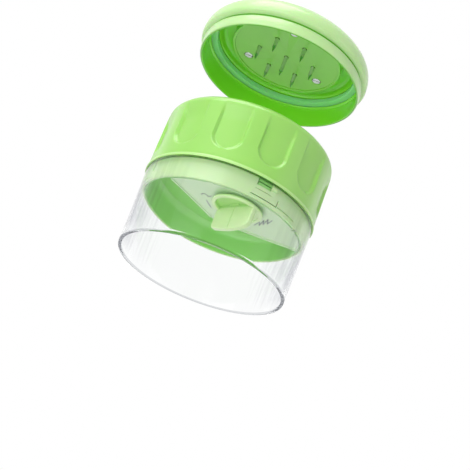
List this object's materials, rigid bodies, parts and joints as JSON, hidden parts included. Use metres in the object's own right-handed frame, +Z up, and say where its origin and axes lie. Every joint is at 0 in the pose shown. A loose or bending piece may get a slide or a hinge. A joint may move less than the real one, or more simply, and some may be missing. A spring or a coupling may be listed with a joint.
{
  "type": "spiralizer",
  "caption": "Hand-held spiral vegetable cutter: gripped drum with a helical cutting floor, push-and-turn cap, comb selector knob and a clear guard ring.",
  "frame": {"origin": "on the drum's axis, on the plane of the clear guard's lower rim, on which the tool stands", "axes": "+Z up along the drum's axis, from the guard to the cap; the selector knob is on the -Y side, nearest to the user"},
  "size_m": [0.0972, 0.0972, 0.1495],
  "materials": {
    "clear_plastic": "clear moulded, polished",
    "green_plastic": "moulded, glossy",
    "pale_green_plastic": "moulded, satin",
    "acetal": "moulded, satin",
    "stainless_steel": "ground"
  },
  "bodies": {
    "drum": {"clear_guard": "clear_plastic", "grip_drum": "green_plastic", "feed_tube": "green_plastic", "collar": "green_plastic", "cutting_floor": "green_plastic", "flat_blade": "stainless_steel", "blade_rivet_1": "stainless_steel", "blade_rivet_2": "stainless_steel", "centre_pin": "stainless_steel", "cover_plate": "pale_green_plastic"},
    "cap_slide": {"slip_ring": "pale_green_plastic"},
    "cap": {"cap_shell": "green_plastic", "prong_holder": "green_plastic", "centre_prong": "stainless_steel", "prong_1": "stainless_steel", "prong_2": "stainless_steel", "prong_3": "stainless_steel", "prong_4": "stainless_steel", "prong_5": "stainless_steel", "prong_6": "stainless_steel", "holder_screw_1": "stainless_steel", "holder_screw_2": "stainless_steel", "holder_screw_3": "stainless_steel"},
    "selector": {"selector_knob": "pale_green_plastic", "cam_hub": "acetal", "hub_screw": "stainless_steel"},
    "comb": {"comb_carrier": "acetal", "comb_blade": "stainless_steel"}
  },
  "joints": [
    {"name": "cap_push", "type": "slide", "parent": "drum", "child": "cap_slide", "axis": [0, 0, 1], "range_m": [-0.0456, 0.06]},
    {"name": "cap_turn", "type": "hinge", "parent": "cap_slide", "child": "cap", "pos_m": [0, 0, 0.139], "axis": [0, 0, 1], "continuous": true},
    {"name": "selector_turn", "type": "hinge", "parent": "drum", "child": "selector", "pos_m": [0.00548, -0.02845, 0.0308], "axis": [0, 0, 1], "range_deg": [-97, 0]},
    {"name": "comb_lift", "type": "slide", "parent": "drum", "child": "comb", "axis": [0, 0, 1], "range_m": [-0.0036, 0]}
  ],
  "couplings": [
    {"joint": "comb_lift", "follows": "selector_turn", "m_per_rad": 0.002126}
  ]
}
